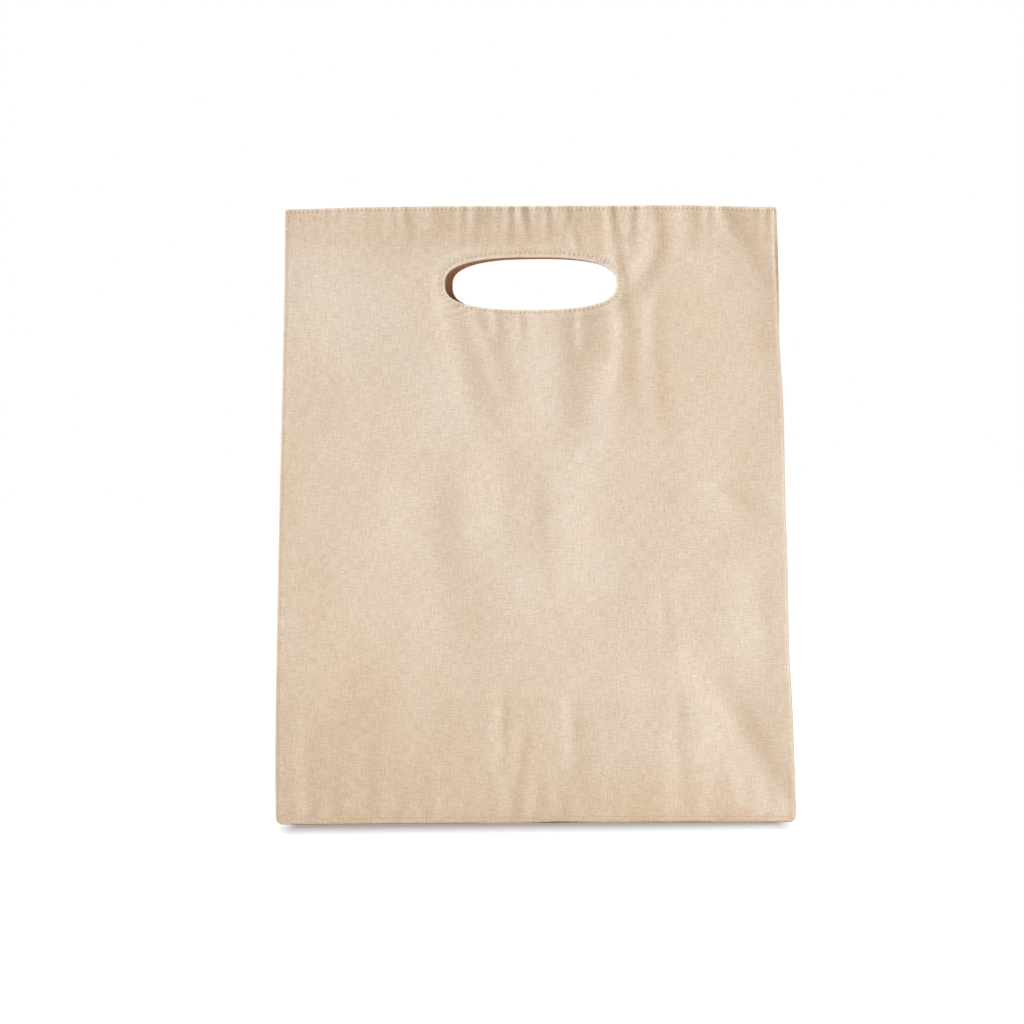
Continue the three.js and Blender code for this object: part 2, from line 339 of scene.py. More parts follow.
HEM_COUNT = stitch_count(2 * (half_width(PANEL_HEIGHT - HEM_ROW) - HEM_INSET))
BASE_COUNT = stitch_count(2 * (half_width(BASE_ROW) - BASE_INSET))
EDGE_COUNT = stitch_count(EDGE_HIGH - EDGE_LOW)
GRIP_COUNT = stitch_count(GRIP_STEPS.sum())


class Wall:
    """Surface of one wall. The back wall is built as a front one and turned half round.

    Places, reaches and heights in its methods are millimetres: x across from the middle, z up from the foot.
    """

    def __init__(self, name, turned, lean, lift, folds, edge_shifts, hem_drop, seed):
        self.name = name
        self.sign = -1 if turned else 1
        self.lean = lean
        self.lift = lift
        self.folds = folds
        self.edge_shifts = edge_shifts
        self.hem_drop = hem_drop
        self.seed = seed

    def relief(self, x, z):
        """How far the cloth stands out from the plain wall."""
        below_hem = PANEL_HEIGHT - z
        beside = half_width(z) - np.abs(x)
        ring = np.maximum(grip_distance(x, z), 0)
        height = self.gathers(x, z, below_hem, beside, ring) + self.creases(x, z)
        for k, (rise, wavelength) in enumerate(WALL_WAVES):
            height = height + rise * ripples(x, z, wavelength, self.seed + k)
        for crest, rise, left, right in self.folds:
            height = height + fold(x, z, crest, rise, left, right)
        return height + self.seams(below_hem, beside, ring, z)

    def gathers(self, x, z, below_hem, beside, ring):
        """Puckers along the hem, the foot, both sides and round the hand hole."""
        at_hem = np.exp(-below_hem / 12) * (0.5 + 0.5 * bump(x, 15, 75))
        at_foot = smoothstep(2, 9, z) * np.exp(-z / 11)
        at_sides = np.exp(-beside / 9)
        at_hole = np.exp(-ring / 6)
        round_hole = 34 * grip_angle(x, z)
        height = 0.2 * at_hem * puckers(x + 0.06 * below_hem, 9, self.seed + 3)
        height = height + 0.2 * at_foot * puckers(x, 15, self.seed + 4)
        height = height + 0.1 * at_sides * puckers(z, 15, self.seed + 5)
        return height + 0.1 * at_hole * puckers(round_hole, 9, self.seed + 6)

    def creases(self, x, z):
        """The hem leans out and the foot tucks in, and two faint ridges run level across the cloth."""
        middle = smoothstep(-130, -95, x) * (1 - smoothstep(60, 90, x))
        far_left = 1 - smoothstep(-138, -112, x)
        ridges = 0.1 * bump(z, FOOT_CREASE_Z, 1.6) * middle + 0.3 * bump(z, SIDE_CREASE_Z, 2.5) * far_left
        lean_out = 0.05 + 0.06 * (1 - smoothstep(10, 50, x)) - 0.07 * (1 - smoothstep(-110, -30, x))
        hem_crease = HEM_CREASE_Z + 8 * bump(x, -5, 45)
        tuck_in = 0.08 - 0.035 * smoothstep(60, 110, x)
        return ridges + lean_out * bend(z - hem_crease, 2.5) - tuck_in * bend(FOOT_CREASE_Z - z, 4)

    def seams(self, below_hem, beside, ring, z):
        """Turned edges are thicker, each row of stitches draws the cloth in, and the foot rolls under."""
        height = 0.25 * bump(beside, 0.6, 0.9)
        for distance, row, step, groove in (
            (below_hem, HEM_ROW, 0.1, 0.06),
            (beside, EDGE_ROW, 0.06, 0.03),
            (ring, GRIP_ROW, 0.35, 0.08),
        ):
            height = height + step * (1 - smoothstep(ALLOWANCE - 2, ALLOWANCE + 2, distance))
            height = height - groove * bump(distance, row, 0.9)
        rolled_under = 0.45 * np.exp(-np.maximum(z, 0) / 1.3)
        base_groove = 0.12 * bump(z, BASE_ROW + 0.4, 1.0)
        return height - rolled_under - base_groove

    def point(self, x, z, depth):
        """Points a depth below the outer face."""
        x, z = np.broadcast_arrays(np.asarray(x, float), np.asarray(z, float))
        share = np.clip(z / PANEL_HEIGHT, 0, 1)
        leaning = self.sign * self.lean * bump(share, 0.87, 0.35)
        bowed = 0.7 * np.sin(math.pi * share)
        across = x + leaning - bowed
        for side, height, reach, shift in self.edge_shifts:
            across = across + shift * smoothstep(50, HEM_WIDTH / 2, side * x) * bump(share, height, reach)
        outward = wall_face(z) + self.relief(x, z) - depth
        return np.stack([self.sign * across, -self.sign * outward, self.level(x, z, share)], axis=-1)

    def level(self, x, z, share):
        """Height of a point when the foot lifts off the floor, the hem dips and the hand hole gives way."""
        clear = np.maximum(0.1 + 0.45 * puckers(x, 70, self.seed + 7) * bump(x, 60, 75), 0)
        middle, right, left = self.hem_drop
        drop = middle + right * smoothstep(75, HEM_WIDTH / 2, x) + left * smoothstep(95, HEM_WIDTH / 2, -x)
        hole_rise = 0.4 * bump(z, GRIP_Z + GRIP_HEIGHT / 2, 8) * bump(x, 0, 48)
        hole_sag = 0.5 * bump(z, GRIP_Z - GRIP_HEIGHT / 2, 10) * bump(x, 12, 48)
        up = z + self.lift * share**2 + clear * np.exp(-np.maximum(z, 0) / 3)
        return up - share**6 * drop + hole_rise - hole_sag

    def normal(self, x, z):
        step = 0.4
        across = self.point(x + step, z, 0) - self.point(x - step, z, 0)
        up = self.point(x, z + step, 0) - self.point(x, z - step, 0)
        cross = np.cross(across, up)
        return cross / np.linalg.norm(cross, axis=-1, keepdims=True)

    def sewing(self, x, z):
        """Distance to the nearest row of stitches, place along it in stitches, distance to the nearest edge.

        The painted shade of the needle holes shows in the hem and round the hand hole only. The row above the
        base lies in a plain groove with painted shade, the upright rows draw none, and the bottom edge
        doesn't count as one, so it gets no rim colour.
        """
        below_hem = PANEL_HEIGHT - z
        beside = half_width(z) - np.abs(x)
        ring = grip_distance(x, z)
        ring_row = grip_distance(x, z - GRIP_ROW_LIFT) - GRIP_ROW
        hem_end = half_width(PANEL_HEIGHT - HEM_ROW) - HEM_INSET
        rows = np.stack([below_hem - HEM_ROW, z - BASE_ROW, ring_row])
        places = np.stack([
            (x / hem_end + 1) / 2 * HEM_COUNT,
            np.full(x.shape, PLAIN_GROOVE),
            np.interp(grip_row_angle(x, z), GRIP_ANGLES, GRIP_SHARES) * GRIP_COUNT,
        ])
        nearest = np.argmin(np.abs(rows), axis=0)[None]
        distance = np.take_along_axis(np.abs(rows), nearest, axis=0)[0]
        place = np.take_along_axis(places, nearest, axis=0)[0]
        edge = np.minimum(np.minimum(below_hem, beside), ring)
        return np.stack([distance, place, edge], axis=-1)


# Small shifts of the side edges: side, height and reach as shares of the wall, shift to the right
FRONT_SHIFTS = [(1, 1.0, 0.14, -1.2), (1, 0.66, 0.1, 1.1), (1, 0.27, 0.1, -1.1), (-1, 0.0, 0.16, -1.1)]
BACK_SHIFTS = [(1, 0.5, 0.16, 0.7), (-1, 0.75, 0.14, -0.7)]
# The hem's drop is that of its middle, and how much more its right and left ends hang down
FRONT = Wall("front", turned=False, lean=0, lift=0, folds=FRONT_FOLDS, edge_shifts=FRONT_SHIFTS,
             hem_drop=(0.6, 1.9, 0.6), seed=11)
BACK = Wall("back", turned=True, lean=3.1, lift=1.85, folds=BACK_FOLDS, edge_shifts=BACK_SHIFTS,
            hem_drop=(0.0, 0.5, 1.0), seed=47)


def stations(length, step):
    """Places from 0 to a length: close together near both ends, even in between."""
    ends = np.array(EDGE_STEPS)
    span = length - 2 * ends[-1]
    count = max(int(round(span / step)), 1)
    middle = ends[-1] + span * np.arange(1, count) / count
    return np.concatenate([ends, middle, length - ends[::-1]])


def corner_rise(x, width, radius):
    """How far a rounded corner draws the edge of a panel in."""
    into = np.clip((np.abs(x) - (width - radius)) / radius, 0, 0.999)
    return radius * (1 - np.sqrt(1 - into**2))


def edge_loop(index):
    """Numbers of the points round a grid, counter-clockwise."""
    return np.concatenate([index[0, :-1], index[:-1, -1], index[-1, :0:-1], index[:0:-1, 0]])


def panel_plan(bottom, rounded, inset):
    """Flat plan of a wall or facing with its hand hole: points (x, z), quads and the two edge loops."""
    base = PANEL_WIDTH / 2 - inset
    height = PANEL_HEIGHT - inset - bottom
    across = stations(2 * base, STEP_ACROSS) - base
    up = stations(height, STEP_UP) / height
    rise = corner_rise(across, base, FOOT_CORNER) if rounded else np.zeros_like(across)
    drop = corner_rise(across, base, HEM_CORNER)
    z = bottom + rise[None, :] + up[:, None] * (height - rise[None, :] - drop[None, :])
    x = (across / base)[None, :] * (half_width(z) - inset)
    columns, rows = len(across), len(up)
    points = np.stack([x, z], axis=-1).reshape(-1, 2)
    index = np.arange(columns * rows).reshape(rows, columns)

    left = int(np.argmin(np.abs(across + GRIP_WIDTH / 2 + HOLE_BLOCK_BESIDE)))
    right = columns - 1 - left
    middle_z = z[:, columns // 2]
    block_reach = GRIP_HEIGHT / 2 + HOLE_BLOCK_ABOVE
    low = int(np.argmin(np.abs(middle_z - (GRIP_Z - block_reach))))
    high = int(np.argmin(np.abs(middle_z - (GRIP_Z + block_reach))))
    corners = np.stack([index[:-1, :-1], index[:-1, 1:], index[1:, 1:], index[1:, :-1]], axis=-1)
    kept = np.ones((rows - 1, columns - 1), bool)
    kept[low:high, left:right] = False
    quads = [corners[kept]]

    block = edge_loop(index[low:high + 1, left:right + 1])
    outer = points[block]
    middle = (outer.max(axis=0) + outer.min(axis=0)) / 2
    reach = (outer.max(axis=0) - outer.min(axis=0)) / 2
    angle = np.arctan2((outer[:, 1] - middle[1]) / reach[1], (outer[:, 0] - middle[0]) / reach[0])
    hole = np.stack(grip_outline(angle, inset), axis=-1)
    previous = block
    for k in range(1, HOLE_RINGS + 1):
        share = (1 - k / HOLE_RINGS) ** HOLE_RING_CLOSENESS
        loop = len(points) + np.arange(len(hole))
        points = np.concatenate([points, hole + (outer - hole) * share])
        quads.append(np.stack([previous, np.roll(previous, -1), np.roll(loop, -1), loop], axis=1))
        previous = loop
    return points, np.concatenate(quads), [edge_loop(index), previous[::-1]]


def vertex_normals(points, quads):
    diagonal_a = points[quads[:, 2]] - points[quads[:, 0]]
    diagonal_b = points[quads[:, 3]] - points[quads[:, 1]]
    faces = np.cross(diagonal_a, diagonal_b)
    normals = np.zeros_like(points)
    for corner in range(4):
        np.add.at(normals, quads[:, corner], faces)
    return normals / np.maximum(np.linalg.norm(normals, axis=1, keepdims=True), 1e-9)


def thicken(points, quads, loops):
    """Closed cloth from its middle surface, with rounded edges: points, faces and each point's source."""
    normals = vertex_normals(points, quads)
    half = CANVAS / 2
    count = len(points)
    made = [points + normals * half, points - normals * half]
    sources = [np.arange(count), np.arange(count)]
    faces = [quads, quads[:, ::-1] + count]
    total = 2 * count
    for loop in loops:
        edge = np.roll(points[loop], -1, axis=0) - np.roll(points[loop], 1, axis=0)
        away = np.cross(edge, normals[loop])
        away = away / np.maximum(np.linalg.norm(away, axis=1, keepdims=True), 1e-9)
        inner = loop
        for k in range(1, RIM_STEPS + 1):
            angle = math.pi * k / RIM_STEPS
            if k < RIM_STEPS:
                made.append(points[loop] + (normals[loop] * math.cos(angle) + away * math.sin(angle)) * half)
                sources.append(loop)
                outer = total + np.arange(len(loop))
                total += len(loop)
            else:
                outer = loop + count
            faces.append(np.stack([np.roll(inner, -1), inner, outer, np.roll(outer, -1)], axis=1))
            inner = outer
    return np.concatenate(made), np.concatenate(faces), np.concatenate(sources)


def make_piece(name, points, faces, fields, material):
    """A mesh object with vector fields that its material reads."""
    mesh = bpy.data.meshes.new(name)
    mesh.from_pydata((points / METRE).tolist(), [], faces)
    mesh.polygons.foreach_set("use_smooth", np.ones(len(mesh.polygons), bool))
    for field, values in fields.items():
        attribute = mesh.attributes.new(field, "FLOAT_VECTOR", "POINT")
        attribute.data.foreach_set("vector", np.asarray(values, np.float32).ravel())
    mesh.materials.append(material)
    mesh.update()
    piece = bpy.data.objects.new(name, mesh)
    bpy.context.scene.collection.objects.link(piece)
    return piece


# Materials and their nodes
def new_material(name):
    material = bpy.data.materials.new(name)
    material.use_nodes = True
    return material, material.node_tree


def add_node(tree, kind, inputs=None, **settings):
    """A shader node with its settings, and its inputs set to values or linked to outputs."""
    node = tree.nodes.new(kind)
    for key, value in settings.items():
        setattr(node, key, value)
    for key, value in (inputs or {}).items():
        socket = node.inputs[key]
        if isinstance(value, bpy.types.NodeSocket):
            tree.links.new(value, socket)
        else:
            socket.default_value = value
    return node


def math_node(tree, operation, a, b=0.0):
    return add_node(tree, "ShaderNodeMath", {0: a, 1: b}, operation=operation).outputs[0]


def mix_colour(tree, factor, a, b, blend="MIX"):
    node = add_node(tree, "ShaderNodeMix", {0: factor, 6: a, 7: b}, data_type="RGBA", blend_type=blend,
                    clamp_factor=True)
    return node.outputs[2]


def field_node(tree, name):
    return add_node(tree, "ShaderNodeAttribute", attribute_name=name).outputs["Vector"]


def split(tree, vector):
    return add_node(tree, "ShaderNodeSeparateXYZ", {0: vector}).outputs


def stretched_noise(tree, coordinates, across, up, detail, seed):
    """Noise whose blotches are about this many millimetres across and up."""
    mapping = add_node(tree, "ShaderNodeMapping", {
        "Vector": coordinates, "Scale": (1 / across, 1 / up, 1), "Location": (seed, seed * 0.7, 0),
    })
    noise = add_node(tree, "ShaderNodeTexNoise", {
        "Vector": mapping.outputs[0], "Scale": 1.0, "Detail": detail, "Roughness": 0.55,
    }, noise_dimensions="2D")
    return noise.outputs[0]


def remap(tree, value, low, high, to_low=0.0, to_high=1.0, smooth=False):
    node = add_node(tree, "ShaderNodeMapRange", {
        "Value": value, "From Min": low, "From Max": high, "To Min": to_low, "To Max": to_high,
    }, interpolation_type="SMOOTHSTEP" if smooth else "LINEAR")
    return node.outputs[0]


def srgb(red, green, blue):
    """Linear colour of 8-bit picture values."""
    def linear(value):
        c = value / 255
        return c / 12.92 if c <= 0.04045 else ((c + 0.055) / 1.055) ** 2.4
    return (linear(red), linear(green), linear(blue), 1.0)


# Looks of the cloth: distance between yarns, the warm tint that carries warm tone and painted shade, and the
# colours of the painted shade in grooves and needle holes
YARN_PITCH = 0.84
THREAD_TWIST = 9.0
# Warmer, darker tint multiplied in: warm tone of the cotton and painted shade
WARM_TONE_AND_SHADE_TINT = (0.985, 0.92, 0.855, 1)
GROOVE_SHADE_COLOUR = srgb(200, 152, 108)
NEEDLE_HOLE_SHADE_COLOUR = srgb(158, 124, 94)
# Shifts of the weave from piece to piece, so that no two show the same yarns
WALL_WEAVE = 7
GUSSET_WEAVE = 400
GUSSET_WEAVE_STEP = 60
BASE_WEAVE = 900


def weave(tree, cloth):
    """The yarns' rise and fall at their crossings, their unevenness up and across, and a fine grain."""
    across, up, _ = split(tree, cloth)
    wander = remap(tree, stretched_noise(tree, cloth, 6, 6, 2, 3.0), 0.3, 0.7, -0.35, 0.35)

    def yarn(position):
        moved = math_node(tree, "ADD", position, wander)
        return math_node(tree, "SINE", math_node(tree, "MULTIPLY", moved, math.pi / YARN_PITCH))

    crossing = math_node(tree, "MULTIPLY", yarn(across), yarn(up))
    warp = stretched_noise(tree, cloth, 0.95, 6.5, 1, 11.0)
    weft = stretched_noise(tree, cloth, 6, 0.75, 1, 29.0)
    grain = stretched_noise(tree, cloth, 1.0, 0.9, 1, 57.0)
    return crossing, warp, weft, grain


def sewing_marks(tree, row, place):
    """Masks of painted shade: the plain groove above the base, and the needle holes between the stitches of
    the other rows.
    """
    plain = math_node(tree, "MULTIPLY", math_node(tree, "LESS_THAN", place, PLAIN_GROOVE / 2), 0.3)
    groove = math_node(tree, "MULTIPLY", remap(tree, row, 0.1, 0.8, 1.0, 0.0, smooth=True), plain)
    near_row = remap(tree, row, 0.7, 1.9, 1.0, 0.0, smooth=True)
    between = math_node(tree, "COSINE", math_node(tree, "MULTIPLY", place, 2 * math.pi))
    hole = math_node(tree, "MULTIPLY", near_row, remap(tree, between, 0.2, 0.95, 0.0, 1.0, smooth=True))
    return groove, hole


def canvas_material(name, light, dark, tint, fleck, rim, rim_width):
    """Plain woven, undyed cotton: uneven yarns both ways, slubs, seed flecks, painted shade in needle holes
    and grooves, a warm tint that carries painted shade, and a rim colour along the edges: lighter on the
    outside, a painted shade round the hand hole on the inside.
    """
    material, tree = new_material(name)
    shader = tree.nodes["Principled BSDF"]
    cloth = field_node(tree, "cloth")
    # Third value of the cloth field: warm tone and painted shade
    warm = split(tree, cloth)[2]
    row, place, edge = split(tree, field_node(tree, "sewing"))
    crossing, warp, weft, grain = weave(tree, cloth)
    groove, hole = sewing_marks(tree, row, place)

    tone = math_node(tree, "MULTIPLY", crossing, 0.07)
    for noise, weight in ((warp, 0.25), (weft, 0.3), (grain, 0.29)):
        tone = math_node(tree, "ADD", tone, remap(tree, noise, 0.25, 0.75, -weight, weight))
    tone = math_node(tree, "ADD", tone, 0.5)
    drift = remap(tree, stretched_noise(tree, cloth, 42, 55, 2, 71.0), 0.35, 0.7, 0.0, 0.5)
    flecks = remap(tree, stretched_noise(tree, cloth, 0.9, 1.5, 1, 83.0), 0.765, 0.82, 0.0, 0.5)
    # Rim colour near an edge: a lighter rim on the outside cloth, and painted shade round the hand hole on
    # the facings
    edge_rim_and_shade = remap(tree, edge, 0.3, rim_width, 0.6, 0.0, smooth=True)
    shown = remap(tree, stretched_noise(tree, cloth, 14, 14, 1, 97.0), 0.3, 0.7, 0.0, 0.28)

    colour = mix_colour(tree, tone, dark, light)
    colour = mix_colour(tree, drift, colour, tint, "MULTIPLY")
    colour = mix_colour(tree, warm, colour, WARM_TONE_AND_SHADE_TINT, "MULTIPLY")
    colour = mix_colour(tree, flecks, colour, fleck)
    colour = mix_colour(tree, edge_rim_and_shade, colour, rim)
    # Painted shade in the groove above the base
    colour = mix_colour(tree, groove, colour, GROOVE_SHADE_COLOUR)
    # Painted shade in the needle holes, shown in some places only
    colour = mix_colour(tree, math_node(tree, "MULTIPLY", hole, shown), colour, NEEDLE_HOLE_SHADE_COLOUR)
    tree.links.new(colour, shader.inputs["Base Color"])

    height = math_node(tree, "MULTIPLY", crossing, 0.30)
    for noise, weight in ((warp, 0.6), (weft, 0.6), (grain, 0.8), (hole, -1.2)):
        height = math_node(tree, "ADD", height, math_node(tree, "MULTIPLY", noise, weight))
    bump_node = add_node(tree, "ShaderNodeBump", {"Height": height, "Strength": 0.35, "Distance": 0.00022})
    tree.links.new(bump_node.outputs[0], shader.inputs["Normal"])
    tree.links.new(remap(tree, grain, 0.2, 0.8, 0.88, 1.0), shader.inputs["Roughness"])
    shader.inputs["Specular IOR Level"].default_value = 0.12
    shader.inputs["Sheen Weight"].default_value = 0.08
    shader.inputs["Sheen Roughness"].default_value = 0.5
    return material


def thread_material():
    """Two-ply cotton thread: the field runs along the stitch and round it."""
    material, tree = new_material("cotton_thread")
    shader = tree.nodes["Principled BSDF"]
    cloth = field_node(tree, "cloth")
    along, around, _ = split(tree, cloth)
    turn = math_node(tree, "ADD", math_node(tree, "MULTIPLY", along, THREAD_TWIST), around)
    twist = math_node(tree, "SINE", turn)
    drift = stretched_noise(tree, cloth, 7, 3, 1, 5.0)
    tone = math_node(tree, "ADD", remap(tree, twist, -1.0, 1.0, -0.15, 0.4), drift)
    colour = mix_colour(tree, tone, srgb(214, 193, 167), srgb(240, 225, 206))
    tree.links.new(colour, shader.inputs["Base Color"])
    bump_node = add_node(tree, "ShaderNodeBump", {"Height": twist, "Strength": 0.5, "Distance": 0.0001})
    tree.links.new(bump_node.outputs[0], shader.inputs["Normal"])
    tree.links.new(remap(tree, twist, -1.0, 1.0, 0.9, 0.75), shader.inputs["Roughness"])
    shader.inputs["Specular IOR Level"].default_value = 0.2
    return material


OUTSIDE = canvas_material(
    "canvas_outside", light=srgb(239, 224, 205), dark=srgb(218, 198, 174), tint=srgb(253, 247, 240),
    fleck=srgb(150, 118, 84), rim=srgb(244, 228, 208), rim_width=1.8,
)
# The inside canvas: darker and warmer than the outside as painted shade inside the bag, and its rim colour a
# deep painted shade round the hand hole
SHADED_INSIDE = canvas_material(
    "canvas_inside", light=srgb(232, 208, 178), dark=srgb(209, 179, 145), tint=srgb(251, 245, 237),
    fleck=srgb(140, 100, 64), rim=srgb(176, 88, 24), rim_width=9.0,
)
THREAD = thread_material()

# Warm, darker patches of a wall, partly painted shade: middle across and up, reach across and up, amount
WARM_AND_SHADED_PATCHES = [
    (98, 280, 45, 60, 0.5),
    (-105, 125, 30, 40, 0.3),
    (-25, 105, 45, 25, 0.35),
    (85, 14, 30, 18, 0.5),
]
# Warmth of all the cloth, and how much painted shade a slope adds on each wall: the flanks of the folds that
# are turned away from the key light are painted warmer and darker
EVEN_WARMTH = 0.1
FRONT_SLOPE_SHADE = 4
BACK_SLOPE_SHADE = -1.5


def warm_and_shaded_areas(x, z):
    """Where the cloth is painted warmer and darker: painted shade over the hem, the foot that tucks under and
    the rolled bottom edge, and a warmer tone down the left side and in a few patches that are partly painted
    shade.
    """
    hem = 0.8 * smoothstep(328, 348, z) * (1 - 0.5 * smoothstep(60, 120, x))
    side = 0.4 * (1 - smoothstep(-130, -20, x)) * (1 - smoothstep(220, 320, z))
    foot = 0.6 * (1 - smoothstep(40, 120, z)) * (1 - smoothstep(-20, 80, x))
    seam = 0.8 * (1 - smoothstep(6, 45, z)) * bump(x, 55, 55) + 0.8 * (1 - smoothstep(3, 10, z))
    total = hem + side + foot + seam
    for middle_x, middle_z, reach_x, reach_z, amount in WARM_AND_SHADED_PATCHES:
        total = total + amount * bump(x, middle_x, reach_x) * bump(z, middle_z, reach_z)
    return total


def warmth_and_painted_shade(wall, x, z):
    """The warm areas with their painted shade, and painted shade on the flanks of the folds that are turned
    away from the light.
    """
    step = 1.5
    slope = (wall.relief(x + step, z) - wall.relief(x - step, z)) / (2 * step)
    strength = FRONT_SLOPE_SHADE if wall is FRONT else BACK_SLOPE_SHADE
    return np.clip(EVEN_WARMTH + warm_and_shaded_areas(x, z) - strength * slope, 0, 1)


def wall_cloth(wall, part, depth, bottom, rounded, material):
    """A wall panel, or the facing behind it."""
    plan, quads, loops = panel_plan(bottom, rounded, CANVAS / 2)
    x, z = plan[:, 0], plan[:, 1]
    points, faces, sources = thicken(wall.point(x, z, depth + CANVAS / 2), quads, loops)
    # Its third value carries warm tone and painted shade into the material
    cloth = np.stack([x + WALL_WEAVE * wall.seed, z, warmth_and_painted_shade(wall, x, z)], axis=1)
    sewing = wall.sewing(x, z)
    # A facing takes its rim colour only round the hand hole, where it paints a deep shade
    if part == "facing":
        sewing[:, 2] = grip_distance(x, z)
    fields = {"cloth": cloth[sources], "sewing": sewing[sources]}
    name = f"{wall.name}_{part}"
    piece = make_piece(f"{name}_cloth", points, faces.tolist(), fields, material)
    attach(piece, f"{wall.name}_wall")
    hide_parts(name)
    return piece


def stitch_row(node, body, count, line):
    """A row of single stitches, each dipping into the cloth at both ends.

    The line gives points and normals for places from 0 to 1.
    """
    random = np.random.default_rng(count * 7 + len(node))
    around = 2 * math.pi * np.arange(THREAD_SIDES) / THREAD_SIDES
    centres = np.arange(count) + 0.5 + random.uniform(-0.03, 0.03, count)
    lengths = STITCH_SHARE * random.uniform(0.93, 1.05, count)
    places = centres[:, None] + STITCH_PLACES * lengths[:, None] / 2
    points, normals = line(places / count)
    ahead = points[:, -1:] - points[:, :1]
    ahead = ahead / np.linalg.norm(ahead, axis=-1, keepdims=True)
    aside = np.cross(np.broadcast_to(ahead, normals.shape), normals)
    slant = random.uniform(-0.1, 0.1, count)[:, None] * STITCH_PLACES
    middle = points + normals * STITCH_RISE[None, :, None] + aside * slant[..., None]
    circle = np.cos(around)[:, None] * aside[:, :, None, :]
    circle = circle + np.sin(around)[:, None] * normals[:, :, None, :]
    made = middle[:, :, None, :] + circle * (THREAD_RADIUS * STITCH_SWELL)[None, :, None, None]
    index = np.arange(made[..., 0].size).reshape(made.shape[:3])
    after = np.roll(index, -1, axis=2)
    skin = np.stack([index[:, :-1], after[:, :-1], after[:, 1:], index[:, 1:]], axis=-1).reshape(-1, 4)
    caps = index[:, 0, ::-1].tolist() + index[:, -1].tolist()
    field = np.stack(np.broadcast_arrays(places[:, :, None] * STITCH_PITCH, around, 0.0), axis=-1)
    piece = make_piece(f"{node}_thread", made.reshape(-1, 3), skin.tolist() + caps, {"cloth": field}, THREAD)
    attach(piece, body)
    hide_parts(node)


def wall_rows(wall):
    """The five rows of stitches on one wall: name, stitches, line, depth below the outer face."""
    left, right = ("left", "right") if wall is FRONT else ("right", "left")
    rows = [
        ("hem_stitching", HEM_COUNT, level_row(PANEL_HEIGHT - HEM_ROW, HEM_INSET), -THREAD_LIFT),
        ("base_stitching", BASE_COUNT, level_row(BASE_ROW, BASE_INSET), -THREAD_LIFT),
        (f"{left}_edge_stitching", EDGE_COUNT, upright_row(-1), EDGE_THREAD_DEPTH),
        (f"{right}_edge_stitching", EDGE_COUNT, upright_row(1), EDGE_THREAD_DEPTH),
        ("grip_stitching", GRIP_COUNT, grip_row, -THREAD_LIFT),
    ]
    for part, count, place, depth in rows:
        def line(shares):
            x, z = place(shares)
            return wall.point(x, z, depth), wall.normal(x, z)
        stitch_row(f"{wall.name}_{part}", f"{wall.name}_wall", count, line)


def plies_outside(z):
    """Plies between a gusset and the outer face of a wall."""
    return 1 + smoothstep(FACING_EDGE - FACING_DEPTH / 10, FACING_EDGE, z)


def seam_line(wall, side, z, inset):
    """Line of a gusset's seam behind a wall: side is -1 for left and 1 for right."""
    return wall.point(side * wall.sign * (half_width(z) - inset), z, PLY * plies_outside(z) + CANVAS / 2)


# Half a gusset: places from its crease to its seam, then out over the pinched lip, and how soft its turns are
LEAF_SHARES = np.concatenate([np.linspace(0, 0.2, 7), np.linspace(0.25, 0.9, 17), np.linspace(0.92, 1, 5)])
LIP_SHARES = (0.25, 0.5, 0.75, 1)
LEAF_LENGTH = BASE_DEPTH / 2 - PLY - CANVAS / 2
PLEAT_SOFTNESS = 2
CREASE_SOFTNESS = 0.07
# How far a gusset hangs in, and its waves: height, wavelength and seed
GUSSET_SLACK = 0.9
GUSSET_WAVES = [(1.1, 60, 91), (0.3, 24, 95)]
# Heights between which the pleat grows from the flat foot to its full depth
PLEAT_GROWS = (-10, 110)


def rounded_lip(wall, side, z, share):
    """Line of the pinched lip, a share of the way out. It follows the rounded corners of the wall."""
    inset = PINCH + (CANVAS / 2 - PINCH) * share
    reach = PANEL_WIDTH / 2 - inset
    edge = PANEL_WIDTH / 2 - CANVAS / 2
    rise = corner_rise(reach, edge, FOOT_CORNER)
    drop = corner_rise(reach, edge, HEM_CORNER)
    return seam_line(wall, side, rise + z * (PANEL_HEIGHT - rise - drop) / PANEL_HEIGHT, inset)


def soften_corner(grid):
    """Rounds the turn between the leaf of a gusset and its pinched lip."""
    corner = slice(len(LEAF_SHARES) - 4, len(LEAF_SHARES) + 2)
    before = slice(corner.start - 1, corner.stop - 1)
    after = slice(corner.start + 1, corner.stop + 1)
    for _ in range(2):
        grid[:, corner] = 0.5 * grid[:, corner] + 0.25 * (grid[:, before] + grid[:, after])


